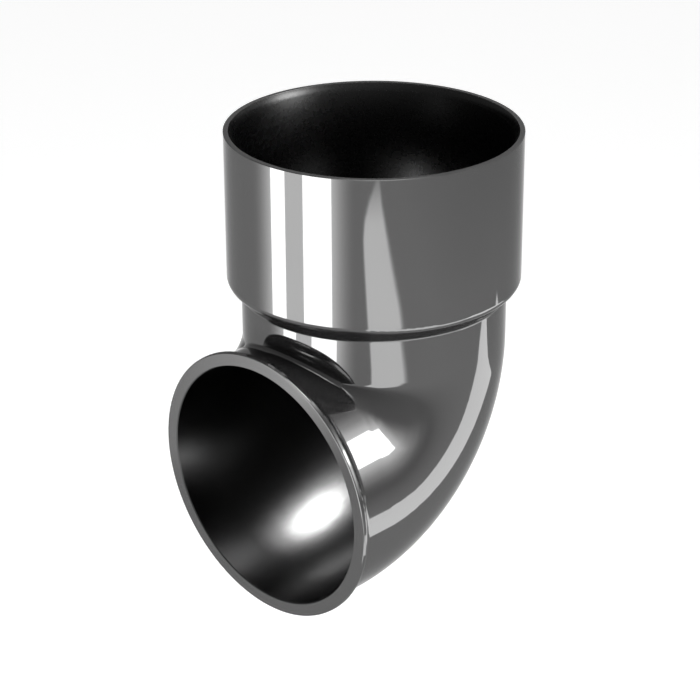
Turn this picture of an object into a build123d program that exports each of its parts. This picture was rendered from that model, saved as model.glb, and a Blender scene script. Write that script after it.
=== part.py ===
"""Downpipe shoe: a pipe socket, a short neck and a tight bend to a lipped outlet, moulded as one piece.

Frame: millimetres. The origin is the centre of the pipe stop, where the downpipe's end rests.
+Z is the socket's axis, up out of its mouth, and the outlet faces -Y. The shoe is symmetric about X = 0.
"""
from build123d import *
from math import acos, cos, degrees, radians, sin, sqrt, tan
import os

# socket: the round downpipe that it takes, its wall and depth, and the step that stops the pipe
pipe_r = 34.0
pipe_clearance = 0.4
socket_wall = 2.3
socket_depth = 38.0
lead_in = 1.05
lead_in_depth = 1.82
mouth_edge = 0.15
stop_width = 3.0
stop_edge = 0.4

# shoulder from the socket in to the neck: a 45 degree slope that starts a little below the stop
shoulder_drop = 0.35
shoulder_top_r = 2.3
shoulder_root_r = 1.0

# neck and outlet pipe: wall, and the straight lengths left at the throat above and beyond its crease
tube_wall = 1.7
neck_run = 7.86
outlet_run = 7.91

# bend: how far the pipe turns, the radius of its centre line, and the small fillet in its crease
bend_angle = 87.5
bend_r = 29.4
throat_r = 1.2

# lip round the outlet: a narrow drafted band, and behind it an S-shaped curve in to the pipe
lip_rise = 1.85
lip_edge_r = 0.3
lip_band = 0.6
lip_draft = 7.5
lip_back_r = 0.8
lip_root_r = 2.4
outlet_edge = 0.25

# working allowances: how deep the crease's fillet sinks into the pipe, how far it runs on past the
# crease's ends, and how far a cut passes the face that it opens
bury = 0.03
run_on = 0.3
overcut = 2.0

# radii that follow from those sizes
bore_r = pipe_r + pipe_clearance
socket_r = bore_r + socket_wall
tube_bore_r = bore_r - stop_width
tube_r = tube_bore_r + tube_wall
lip_r = tube_r + lip_rise

# places that follow: the neck's top, and the corner where the neck's and the outlet's axes cross
half_bend = radians(bend_angle / 2)
neck_top = -shoulder_drop - (socket_r - tube_r)
turn_reach = max(bend_r, tube_r) * tan(half_bend)
corner_z = neck_top - neck_run - turn_reach
outlet_reach = turn_reach + outlet_run
bend_reach = bend_r * tan(half_bend)
bend_top = corner_z + bend_reach
out_y = -sin(radians(bend_angle))
out_z = -cos(radians(bend_angle))


def along_outlet(reach):
    """Plane square to the outlet's axis, at a reach from the corner."""
    origin = (0, out_y * reach, corner_z + out_z * reach)
    return Plane(origin=origin, x_dir=(1, 0, 0), z_dir=(0, out_y, out_z))


def bent_rod(r, top, end):
    """Solid rod from a height in the neck, round the bend, to a reach along the outlet.

    Where the bend is tighter than the rod's own radius, only the part of the section on the heel's side of
    the bend's axis is turned, and the two straight lengths meet in a crease at the throat.
    """
    with BuildPart() as rod:
        with BuildSketch(Plane.XY.offset(bend_top)) as neck_end:
            Circle(r)
        extrude(to_extrude=neck_end.sketch, amount=top - bend_top)
        with BuildSketch(Plane.XY.offset(bend_top)) as turned:
            Circle(r)
            with Locations((0, -bend_r)):
                Rectangle(3 * r, r, align=(Align.CENTER, Align.MAX), mode=Mode.SUBTRACT)
        revolve(turned.sketch, axis=Axis((0, -bend_r, bend_top), (-1, 0, 0)), revolution_arc=bend_angle)
        with BuildSketch(along_outlet(bend_reach)) as outlet_start:
            Circle(r)
        extrude(to_extrude=outlet_start.sketch, amount=end - bend_reach)
    return rod.part


def crease_fillet():
    """Small concave fillet in the throat's crease, as a web swept along it.

    It runs to where the bend's own surface opens to the fillet's radius. The arc's centre is a little less
    than that radius from both pipes, so the web's ends sink into them.
    """
    half_w = sqrt(tube_r ** 2 - (bend_r - throat_r) ** 2) + run_on
    mitre = Plane(origin=(0, 0, corner_z), x_dir=(1, 0, 0), z_dir=(0, -sin(half_bend), -cos(half_bend)))
    start_angle = degrees(acos(half_w / tube_r))
    span = 180 - 2 * start_angle
    # the section, with the crease at its own origin: the arc's centre, its two ends and its middle
    centre = (bury - throat_r, (throat_r - bury) * tan(half_bend))
    neck_side = (centre[0] + throat_r, centre[1])
    outlet_side = (centre[0] - throat_r * out_z, centre[1] + throat_r * out_y)
    mid = (centre[0] + throat_r * cos(half_bend), centre[1] - throat_r * sin(half_bend))
    root = throat_r / 2
    with BuildPart() as web:
        with BuildLine(mitre) as crease:
            EllipticalCenterArc((0, 0), tube_r, tube_r / cos(half_bend), start_angle, arc_size=span)
        with BuildSketch(Plane(origin=crease.line @ 1, x_dir=(0, 1, 0), z_dir=(1, 0, 0))) as corner:
            with BuildLine():
                ThreePointArc(neck_side, mid, outlet_side)
                Polyline(outlet_side, (outlet_side[0], -root), (root, -root), (root, neck_side[1]), neck_side)
            make_face()
        sweep(corner.sketch, path=crease.line, normal=(1, 0, 0))
    return web.part


outlet_face = along_outlet(outlet_reach)
lip_plane = Plane(origin=outlet_face.origin, x_dir=(1, 0, 0), z_dir=(0, -out_z, out_y))
outer_rod = bent_rod(tube_r, neck_top - shoulder_root_r, outlet_reach)
waterway = bent_rod(tube_bore_r, 0, outlet_reach + overcut)

with BuildPart() as shoe:
    add(outer_rod)
    if bend_r - throat_r < tube_r:
        add(crease_fillet())

    # socket, shoulder and the straight of the neck
    with BuildSketch(Plane.XZ) as profile:
        with BuildLine():
            Polyline((0, bend_top), (0, socket_depth), (socket_r, socket_depth), (socket_r, -shoulder_drop))
            Polyline((socket_r, -shoulder_drop), (tube_r, neck_top), (tube_r, bend_top), (0, bend_top))
        make_face()
        chamfer(profile.vertices().sort_by_distance((socket_r, socket_depth))[0], mouth_edge)
        fillet(profile.vertices().sort_by_distance((socket_r, -shoulder_drop))[0], shoulder_top_r)
        fillet(profile.vertices().sort_by_distance((tube_r, neck_top))[0], shoulder_root_r)
    revolve(axis=Axis.Z)

    # lip, widest just behind its band: its edge, back and root are arcs that run on tangent from the band
    draft = radians(lip_draft)
    lip_turn = acos(1 - lip_rise / (lip_back_r + lip_root_r))
    back_r = lip_r - lip_back_r
    band_end = (back_r + lip_back_r * cos(draft), -lip_edge_r * (1 - sin(draft)) - lip_band * cos(draft))
    back_at = band_end[1] - lip_back_r * sin(draft)
    band_start = (band_end[0] - lip_band * sin(draft), band_end[1] + lip_band * cos(draft))
    face_r = band_start[0] - lip_edge_r * cos(draft)
    turn = (back_r + lip_back_r * cos(lip_turn), back_at - lip_back_r * sin(lip_turn))
    root = (tube_r, back_at - (lip_back_r + lip_root_r) * sin(lip_turn))
    with BuildSketch(lip_plane):
        with BuildLine():
            Polyline(root, (0, root[1]), (0, 0), (face_r, 0))
            TangentArc((face_r, 0), band_start, tangent=(1, 0))
            Line(band_start, band_end)
            TangentArc(band_end, turn, tangent=(sin(draft), -cos(draft)))
            TangentArc(turn, root, tangent=(-sin(lip_turn), -cos(lip_turn)))
        make_face()
    revolve(axis=Axis(outlet_face.origin, outlet_face.z_dir))

    # socket's bore down to the stop, and the waterway from there to the outlet
    with BuildSketch(Plane.XY):
        Circle(bore_r)
    extrude(amount=socket_depth + overcut, mode=Mode.SUBTRACT)
    add(waterway, mode=Mode.SUBTRACT)

    # lead-in at the mouth, a slim cone that guides the pipe in
    with Locations((0, 0, socket_depth - lead_in_depth)):
        Cone(bore_r, bore_r + lead_in, lead_in_depth, align=(Align.CENTER, Align.CENTER, Align.MIN),
             mode=Mode.SUBTRACT)

    # broken inner edges at the stop and the outlet
    for centre, size in (((0, 0, 0), stop_edge), (outlet_face.origin, outlet_edge)):
        chamfer(shoe.edges().filter_by(GeomType.CIRCLE).sort_by_distance(centre)[0], size)

shoe.part.label = "downpipe_shoe"
os.makedirs("parts", exist_ok=True)
export_step(shoe.part, "parts/downpipe_shoe.step")
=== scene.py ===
"""Looks and studio for the downpipe shoe: a moulded socket, neck, tight bend and lipped outlet.

Metres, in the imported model's frame: +Z up out of the socket, the outlet facing -Y.
"""

from math import cos, pi, radians, sin, tan

import bmesh
import bpy
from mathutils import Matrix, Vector

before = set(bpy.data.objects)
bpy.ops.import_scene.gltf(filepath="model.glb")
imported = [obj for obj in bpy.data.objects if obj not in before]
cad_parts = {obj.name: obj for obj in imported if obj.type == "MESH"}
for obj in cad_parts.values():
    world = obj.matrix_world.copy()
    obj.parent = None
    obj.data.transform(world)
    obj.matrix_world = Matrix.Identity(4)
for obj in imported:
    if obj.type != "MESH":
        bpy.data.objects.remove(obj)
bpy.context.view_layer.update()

MM = 0.001

# camera: its place in the frame, and how far it looks down and round
CAMERA_AT = Vector((380.07, -392.81, 227.75)) * MM
CAMERA_PITCH = radians(24.497)
CAMERA_TURN = radians(44.056)
FOCAL_PX = 2374.7
IMAGE_PX = 700
SENSOR = 36.0
# the socket's axis stands this many pixels right of the image's middle
AXIS_PX = 24

# studio: the floor is well below the shoe, which hangs on its pipe, and the lights stand in a ring about it
FLOOR_Z = -0.5
FLOOR_HALF = 10.0
RING_R = 0.45
CAMERA_SIDE = CAMERA_TURN - pi / 2
# a lamp's strength where its glow is 1, the glow of a white card and of a strip lamp, and the degrees over
# which a strip's edge fades
LAMP_WHITE = 8.5
CARD = 0.584
STRIP = 1.1
EDGE = 0.2

# the shoe's own sizes that its finish needs, in mm. Its centre line: the bend's radius, where the bend
# starts, how far it turns, and how far the outlet runs on
BEND_R = 29.4
BEND_TOP = -15.35
BEND_ANGLE = radians(87.5)
OUTLET_RUN = 11.4
# radii within the wall: between the waterway's 31.4 and the pipe's 33.1, and between the lead-in and outside
WATERWAY_WALL = 32.2
SOCKET_WALL = 35.6
# heights that bound the socket, and the one that its shoulder stays under
SOCKET_BOTTOM = -1.0
SOCKET_TOP = 37.9
SHOULDER_TOP = -0.2

# the socket's bore, how far its flat facets may lie inside and outside that radius, and its conical lead-in
BORE_R = 34.4
FACET_IN = 0.05
FACET_OUT = 0.015
LEAD_IN = 1.05
LEAD_IN_ANGLE = radians(30)
LEAD_IN_FOOT = 36.18
# how far the light leans at the lead-in's foot, and the length of bore over which it comes to lean so
FLARE = radians(10.5)
FLARE_DEPTH = 20.0


def linear(hex_colour):
    """Linear RGBA from an sRGB hex colour."""
    parts = [int(hex_colour[i:i + 2], 16) / 255 for i in (1, 3, 5)]
    return tuple(c / 12.92 if c <= 0.04045 else ((c + 0.055) / 1.055) ** 2.4 for c in parts) + (1.0,)


def add_node(tree, kind, settings=None, **inputs):
    """Node with its settings, and its inputs as values or as other nodes' sockets. A_b stands for "A b"."""
    node = tree.nodes.new(kind)
    for name, value in (settings or {}).items():
        setattr(node, name, value)
    for name, value in inputs.items():
        socket = node.inputs[int(name[1:])] if name[1:].isdigit() else node.inputs[name.replace("_", " ")]
        if isinstance(value, bpy.types.NodeSocket):
            tree.links.new(value, socket)
        else:
            socket.default_value = value
    return node


def new_material(name):
    """Material with an empty node tree, and its output node."""
    material = bpy.data.materials.new(name)
    material.use_nodes = True
    material.node_tree.nodes.clear()
    return material, material.node_tree, material.node_tree.nodes.new("ShaderNodeOutputMaterial")


def new_object(name, bm):
    """Object at the origin, unturned, whose mesh is that of the bmesh."""
    mesh = bpy.data.meshes.new(name)
    bm.to_mesh(mesh)
    bm.free()
    made = bpy.data.objects.new(name, mesh)
    bpy.context.scene.collection.objects.link(made)
    return made


def sums(tree):
    """Two short ways to add nodes to a tree: for a sum of one kind, and for the length of a vector."""
    def math(operation, first, second=0.0):
        node = add_node(tree, "ShaderNodeMath", {"operation": operation}, _0=first, _1=second)
        return node.outputs["Value"]

    def length(x, y, z=0.0):
        vector = add_node(tree, "ShaderNodeCombineXYZ", X=x, Y=y, Z=z).outputs["Vector"]
        return add_node(tree, "ShaderNodeVectorMath", {"operation": "LENGTH"}, _0=vector).outputs["Value"]

    return math, length


def lead_in_height(tree, place):
    """Socket with a height in metres for a bump that softens the foot of the socket's conical lead-in.

    A moulded lead-in has no hard edge at its foot. The light leans slowly over the last of the bore, by FLARE
    at the cone's foot, and on across the cone to its own angle at the mouth. The bore itself stays straight.
    """
    math, length = sums(tree)
    at = add_node(tree, "ShaderNodeSeparateXYZ", Vector=place)
    across = length(at.outputs["X"], at.outputs["Y"])
    # on the cone the height climbs to the mouth, and is level there
    up_cone = add_node(tree, "ShaderNodeMapRange", Value=across, From_Min=(BORE_R + FACET_OUT) * MM,
                       From_Max=(BORE_R + LEAD_IN) * MM).outputs["Result"]
    short_of_mouth = math("SUBTRACT", 1.0, up_cone)
    climb = LEAD_IN * MM / sin(LEAD_IN_ANGLE) * tan(LEAD_IN_ANGLE - FLARE) / 2
    on_cone = math("MULTIPLY", math("MULTIPLY", short_of_mouth, short_of_mouth), -climb)
    # on the bore's wall it falls towards the cone's foot, ever more steeply
    up_bore = add_node(tree, "ShaderNodeMapRange", Value=at.outputs["Z"],
                       From_Min=(LEAD_IN_FOOT - FLARE_DEPTH) * MM,
                       From_Max=LEAD_IN_FOOT * MM).outputs["Result"]
    short_of_foot = math("SUBTRACT", 1.0, math("MULTIPLY", up_bore, up_bore))
    in_bore = math("MULTIPLY", math("GREATER_THAN", across, (BORE_R - FACET_IN) * MM),
                   math("LESS_THAN", across, SOCKET_WALL * MM))
    fall = FLARE_DEPTH * MM * tan(FLARE) / 2
    on_bore = math("MULTIPLY", math("MULTIPLY", short_of_foot, in_bore), fall)
    above_shoulder = math("GREATER_THAN", at.outputs["Z"], SHOULDER_TOP * MM)
    return math("MULTIPLY", math("ADD", on_cone, on_bore), above_shoulder)


def inside_the_shoe(tree, place):
    """Socket that is 1 on the walls of the bore and of the waterway, and 0 on the outside and on both rims.

    It compares the distance from the centre line with a radius that lies inside the wall. The line has three
    parts: down the neck, round the bend and out along the outlet.
    """
    math, length = sums(tree)
    at = add_node(tree, "ShaderNodeSeparateXYZ", Vector=place)
    x, y, z = at.outputs["X"], at.outputs["Y"], at.outputs["Z"]
    forward = math("ADD", y, BEND_R * MM)
    down = math("SUBTRACT", z, BEND_TOP * MM)
    # along and across the outlet, from the end of the bend
    along = math("SUBTRACT", math("MULTIPLY", forward, -sin(BEND_ANGLE)),
                 math("MULTIPLY", down, cos(BEND_ANGLE)))
    across = math("SUBTRACT", math("MULTIPLY", forward, cos(BEND_ANGLE)),
                  math("MULTIPLY", down, sin(BEND_ANGLE)))
    neck = length(x, y, math("MINIMUM", down, 0.0))
    outlet = length(x, math("SUBTRACT", across, BEND_R * MM), math("MINIMUM", along, 0.0))
    bend = length(x, math("SUBTRACT", length(forward, down), BEND_R * MM))
    turning = math("MULTIPLY", math("LESS_THAN", down, 0.0), math("LESS_THAN", along, 0.0))
    in_bend = math("MULTIPLY", math("LESS_THAN", bend, WATERWAY_WALL * MM), turning)
    in_pipe = math("LESS_THAN", math("MINIMUM", neck, outlet), WATERWAY_WALL * MM)
    in_socket = math("MULTIPLY", math("LESS_THAN", length(x, y), SOCKET_WALL * MM),
                     math("GREATER_THAN", z, SOCKET_BOTTOM * MM))
    between = math("MULTIPLY", math("LESS_THAN", z, SOCKET_TOP * MM),
                   math("LESS_THAN", along, OUTLET_RUN * MM))
    return math("MULTIPLY", math("MAXIMUM", math("MAXIMUM", in_bend, in_pipe), in_socket), between)


def graphite_pvc():
    """PVC-U with a graphite pigment, injection moulded in a polished steel tool.

    The polished cavity leaves an outside that mirrors the lamps with crisp edges, a dark pewter grey where it
    mirrors a white room. The melt shrinks a little unevenly as it cools, so those edges waver by a hair, and
    the gloss is a touch duller where it flowed last. The cores that form the inside are only brushed, so they
    slide out, and they leave a satin skin that spreads a lamp into a soft glow. The socket's core is the
    rougher of the two. The inside is also painted darker than the outside, as painted shade, and darkest in
    the socket.
    """
    material, tree, output = new_material("graphite_pvc_gloss_moulded")
    place = add_node(tree, "ShaderNodeTexCoord").outputs["Object"]
    # sink and flow: broad marks about 22 mm across, and the tool's own polish at about 1.5 mm
    flow = add_node(tree, "ShaderNodeTexNoise", Vector=place, Scale=1 / (22 * MM),
                    Detail=2.0, Roughness=0.4)
    polish = add_node(tree, "ShaderNodeTexNoise", Vector=place, Scale=1 / (1.5 * MM),
                      Detail=3.0, Roughness=0.5)

    # outside
    mottle = add_node(tree, "ShaderNodeMix", {"data_type": "RGBA"}, _0=flow.outputs["Fac"],
                      _6=linear("#5d5d5d"), _7=linear("#616161"))
    gloss = add_node(tree, "ShaderNodeMapRange", Value=polish.outputs["Fac"], To_Min=0.02, To_Max=0.06)

    # inside, from the waterway's core to the socket's over the last few millimetres below the stop. Its
    # colour is painted shade: darker than the outside, and darkest in the socket
    up = add_node(tree, "ShaderNodeSeparateXYZ", Vector=place).outputs["Z"]
    socket = add_node(tree, "ShaderNodeMapRange", Value=up,
                      From_Min=-6 * MM, From_Max=1 * MM).outputs["Result"]
    inside_painted_shade = add_node(tree, "ShaderNodeMix", {"data_type": "RGBA"}, _0=socket,
                    _6=linear("#545454"), _7=linear("#3c3c3c"))
    brushed = add_node(tree, "ShaderNodeMapRange", Value=socket, To_Min=0.2, To_Max=0.25)
    satin = add_node(tree, "ShaderNodeMath", {"operation": "MULTIPLY_ADD"}, _0=polish.outputs["Fac"], _1=0.05,
                     _2=brushed.outputs["Result"])

    # both
    inside = inside_the_shoe(tree, place)
    # the colour: a random mottle outside, and painted shade inside
    mottle_and_painted_shade = add_node(tree, "ShaderNodeMix", {"data_type": "RGBA"}, _0=inside,
                    _6=mottle.outputs[2], _7=inside_painted_shade.outputs[2])
    rough = add_node(tree, "ShaderNodeMix", {"data_type": "FLOAT"}, _0=inside,
                     _2=gloss.outputs["Result"], _3=satin.outputs["Value"])
    sheen = add_node(tree, "ShaderNodeMapRange", Value=inside, To_Min=0.9, To_Max=1.0)
    rounding = add_node(tree, "ShaderNodeBump", Height=lead_in_height(tree, place),
                        Strength=1.0, Distance=1.0)
    sink = add_node(tree, "ShaderNodeBump", Height=flow.outputs["Fac"], Strength=0.02, Distance=0.4 * MM,
                    Normal=rounding.outputs["Normal"])
    skin = add_node(tree, "ShaderNodeBump", Height=polish.outputs["Fac"], Strength=0.01, Distance=0.02 * MM,
                    Normal=sink.outputs["Normal"])
    surface = add_node(tree, "ShaderNodeBsdfPrincipled", Base_Color=mottle_and_painted_shade.outputs[2], IOR=1.54,
                       Metallic=sheen.outputs["Result"], Roughness=rough.outputs["Result"],
                       Specular_Tint=linear("#c8c8c8"), Normal=skin.outputs["Normal"])
    tree.links.new(surface.outputs["BSDF"], output.inputs["Surface"])
    return material


def white_floor(painted_pool_at):
    """Matt white paper, lifted until the camera sees it as white.

    Gloss mirrors it as white with a painted pool of light on it, a glow whose middle is at a place on it and
    that fades away from there.
    """
    material, tree, output = new_material("white_studio_paper")
    ray = add_node(tree, "ShaderNodeLightPath")
    mirrored = add_node(tree, "ShaderNodeMath", {"operation": "MAXIMUM"}, _0=ray.outputs["Is Glossy Ray"],
                        _1=ray.outputs["Is Transmission Ray"])
    # what the camera sees: the lit paper, lifted to white
    lift = add_node(tree, "ShaderNodeMath", {"operation": "MULTIPLY"},
                    _0=ray.outputs["Is Camera Ray"], _1=0.6)
    paper = add_node(tree, "ShaderNodeBsdfDiffuse", Color=linear("#e8e8e8"))
    glow = add_node(tree, "ShaderNodeEmission", Strength=lift.outputs["Value"])
    seen = add_node(tree, "ShaderNodeAddShader", _0=paper.outputs["BSDF"], _1=glow.outputs["Emission"])
    # what gloss mirrors: a painted pool of light, white within 1.8 m of the pool's middle, falling to half of
    # that from 3.4 m away
    away = add_node(tree, "ShaderNodeVectorMath", {"operation": "DISTANCE"},
                    _0=add_node(tree, "ShaderNodeTexCoord").outputs["Object"], _1=painted_pool_at)
    near = add_node(tree, "ShaderNodeMath", {"operation": "DIVIDE"}, _0=1.0, _1=away.outputs["Value"])
    painted_pool = add_node(tree, "ShaderNodeMapRange", Value=near.outputs["Value"], From_Min=0.29, From_Max=0.56,
                    To_Min=0.5, To_Max=1.0)
    white = add_node(tree, "ShaderNodeEmission", Strength=painted_pool.outputs["Result"])
    both = add_node(tree, "ShaderNodeMixShader", _0=mirrored.outputs["Value"], _1=seen.outputs["Shader"],
                    _2=white.outputs["Emission"])
    tree.links.new(both.outputs["Shader"], output.inputs["Surface"])
    return material


def lamp_light():
    """Diffuser cloth with a lamp behind it.

    Its light adds to what is behind, and fades as the mesh's glow does.
    """
    material, tree, output = new_material("lit_diffuser")
    glow = add_node(tree, "ShaderNodeAttribute", {"attribute_name": "glow"})
    fade = add_node(tree, "ShaderNodeMath", {"operation": "POWER"}, _0=glow.outputs["Fac"], _1=2.0)
    strength = add_node(tree, "ShaderNodeMath", {"operation": "MULTIPLY"}, _0=fade.outputs["Value"],
                        _1=LAMP_WHITE)
    lit = add_node(tree, "ShaderNodeEmission", Strength=strength.outputs["Value"])
    clear = add_node(tree, "ShaderNodeBsdfTransparent")
    both = add_node(tree, "ShaderNodeAddShader", _0=clear.outputs["BSDF"], _1=lit.outputs["Emission"])
    tree.links.new(both.outputs["Shader"], output.inputs["Surface"])
    return material


def on_ring(azimuth, height):
    """Place on the ring of lights: degrees round from the camera's side, to its right, and a height."""
    angle = CAMERA_SIDE + radians(azimuth)
    return Vector((RING_R * cos(angle), RING_R * sin(angle), height))


def out_from_axis(azimuth, reach, height):
    """Place at a reach from the socket's axis, in the same direction as that azimuth on the ring."""
    place = on_ring(azimuth, height) * (reach / RING_R)
    place.z = height
    return place


def as_lamp(made):
    """Makes an object a lit diffuser that the camera doesn't see and that throws no shadow."""
    made.data.materials.append(DIFFUSER)
    made.visible_camera = False
    made.visible_shadow = False


def ring_lamp(name, rows):
    """Lamp on the ring. rows go up, each a height in mm and its points: (azimuth in degrees, glow)."""
    across, up = len(rows[0][1]), len(rows)
    bm = bmesh.new()
    glow = bm.verts.layers.float.new("glow")
    bmesh.ops.create_grid(bm, x_segments=across - 1, y_segments=up - 1, size=1.0)
    for vert in bm.verts:
        column = round((vert.co.x + 1) / 2 * (across - 1))
        height, points = rows[round((vert.co.y + 1) / 2 * (up - 1))]
        azimuth, vert[glow] = points[column]
        vert.co = on_ring(azimuth, height * MM)
    as_lamp(new_object(name, bm))


def tall_lamp(name, columns, bottom, top, fade):
    """Ring lamp of upright columns, each (azimuth, glow), between two heights in mm.

    It fades out above and below them.
    """
    dark = [(azimuth, 0.0) for azimuth, _ in columns]
    ring_lamp(name, [(bottom - fade, dark), (bottom, columns), (top, columns), (top + fade, dark)])


def overhead_lamp(centre, rings):
    """Round level lamp. rings go outwards, each a radius in metres and its glow."""
    bm = bmesh.new()
    glow = bm.verts.layers.float.new("glow")
    inner = []
    for radius, level in rings:
        ring = bmesh.ops.create_circle(bm, cap_ends=not inner, segments=64, radius=radius)["verts"]
        edges = list({edge for vert in ring for edge in vert.link_edges})
        for vert in ring:
            vert[glow] = level
        if inner:
            bmesh.ops.bridge_loops(bm, edges=inner + edges)
        inner = edges
    bmesh.ops.translate(bm, verts=bm.verts, vec=centre)
    as_lamp(new_object("overhead_lamp", bm))


# the shoe itself: the CAD node with its moulded finish
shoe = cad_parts["downpipe_shoe"]
shoe.data.materials.clear()
shoe.data.materials.append(graphite_pvc())

# camera
camera = bpy.data.objects.new("camera", bpy.data.cameras.new("camera"))
bpy.context.scene.collection.objects.link(camera)
camera.location = CAMERA_AT
camera.rotation_euler = (pi / 2 - CAMERA_PITCH, 0, CAMERA_TURN)
camera.data.sensor_width = SENSOR
camera.data.lens = FOCAL_PX * SENSOR / IMAGE_PX
camera.data.shift_x = -AXIS_PX / IMAGE_PX
camera.data.clip_start = 0.05
camera.data.clip_end = 50.0
bpy.context.scene.camera = camera

# floor, with its painted pool of light on the camera's left
bm = bmesh.new()
bmesh.ops.create_grid(bm, x_segments=1, y_segments=1, size=FLOOR_HALF)
bmesh.ops.translate(bm, verts=bm.verts, vec=(0, 0, FLOOR_Z))
floor = new_object("studio_floor", bm)
floor.data.materials.append(white_floor(out_from_axis(-80, 0.8, FLOOR_Z)))

# lamps on the ring: two white strips on the camera's left, with a dimmer diffuser between and beside them
DIFFUSER = lamp_light()
STRIPS = [(-101.5, 0.0), (-81.5 - EDGE, 0.58), (-81.5, STRIP), (-68.5, STRIP), (-68.5 + EDGE, CARD),
          (-53 - EDGE, CARD), (-53, STRIP), (-31, STRIP), (-31 + EDGE, 0.6), (-13, 0.0)]
tall_lamp("strip_lamps", STRIPS, bottom=-235, top=-80, fade=60)

# a card in front, low down, slanting away to its right
ring_lamp("front_card", [
    (-280, [(-3.5, 0.0), (-1.5, CARD), (33.0, CARD), (40.0, 0.0)]),
    (-206, [(-3.5, 0.0), (-1.5, CARD), (23.5, CARD), (29.5, 0.0)]),
    (-174, [(-6.5, 0.0), (-4.5, CARD), (17.5, CARD), (22.0, 0.0)]),
    (-150, [(-8.5, 0.0), (-6.5, CARD), (10.5, CARD), (14.5, 0.0)]),
    (-142, [(-9.0, 0.0), (-7.0, CARD), (8.5, CARD), (12.0, 0.0)]),
    (-134, [(-8.5, 0.0), (-6.0, CARD), (6.5, CARD), (9.5, 0.0)]),
    (-126, [(-5.5, 0.0), (-3.0, 0.5), (4.5, 0.5), (7.0, 0.0)]),
    (-115, [(0.5, 0.0), (2.5, 0.3), (3.0, 0.3), (5.0, 0.0)]),
])

# under it a low card that runs round to the right, near the floor
LOW_CARD = [(-3.5, 0.0), (-1.5, CARD), (84.0, CARD), (86.0, 0.0)]
ring_lamp("low_card", [(-490, LOW_CARD), (-284, LOW_CARD)])

# a soft box on the right, above the bend's height, in a wide halo. Its rows go down: each a height, where the
# halo and the box start, and the halo's and the box's glow
SOFT_BOX = [(560, 39, 63, 0.0, 0.0), (440, 39, 63, 0.24, 0.24), (340, 39, 63, 0.46, 0.46),
            (242, 39, 63, 0.7, 0.7), (240, 39, 63, 0.7, 1.25), (130, 41, 63, 0.7, 1.25),
            (57, 43, 65, 0.7, 1.25), (55, 43, 65, 0.68, 0.68), (20, 45, 63, 0.5, 0.55),
            (-20, 45, 63, 0.36, 0.36), (-60, 45, 63, 0.2, 0.2), (-110, 45, 63, 0.0, 0.0)]
ring_lamp("right_soft_box", [
    (height, [(start, 0.0), (left, halo), (left + 0.5, box), (75, box), (86, box), (86.5, halo), (108, 0.0)])
    for height, start, left, halo, box in reversed(SOFT_BOX)
])

# a low card behind on the right, a spearhead: each row a height and where it starts and ends
SPEARHEAD = [(-390, 84, 93), (-333, 82, 109), (-270, 82, 119), (-243, 82, 124.5), (-238, 90, 124),
             (-216, 98, 115), (-203, 101, 112), (-188, 105, 110), (-184, 105.2, 108.2), (-180, 106.2, 106.8)]
ring_lamp("rear_card", [(height, [(left, 0.64), (right, 0.66)]) for height, left, right in SPEARHEAD])

# and a round one overhead, a little to the right of the shoe, in a halo of its own
overhead_lamp(out_from_axis(90, 0.03, 0.6), [(0.145, 1.65), (0.155, 0.8), (0.39, 0.0)])

# the room: white to the camera. To the light its walls are a plain grey, palest towards the rear right
world = bpy.data.worlds.new("studio_room")
bpy.context.scene.world = world
world.use_nodes = True
room = world.node_tree
room.nodes.clear()
toward = add_node(room, "ShaderNodeVectorMath", {"operation": "DOT_PRODUCT"},
                  _0=add_node(room, "ShaderNodeTexCoord").outputs["Generated"],
                  _1=on_ring(110, -80 * MM).normalized())
walls = add_node(room, "ShaderNodeMapRange", Value=toward.outputs["Value"], From_Min=-1.0, From_Max=1.0,
                 To_Min=0.2, To_Max=0.66)
ray = add_node(room, "ShaderNodeLightPath")
level = add_node(room, "ShaderNodeMix", {"data_type": "FLOAT"}, _0=ray.outputs["Is Camera Ray"],
                 _2=walls.outputs["Result"], _3=1.0)
sky = add_node(room, "ShaderNodeBackground", Color=(1, 1, 1, 1), Strength=level.outputs["Result"])
room.links.new(sky.outputs["Background"], add_node(room, "ShaderNodeOutputWorld").inputs["Surface"])

bpy.context.scene.view_settings.view_transform = "Standard"
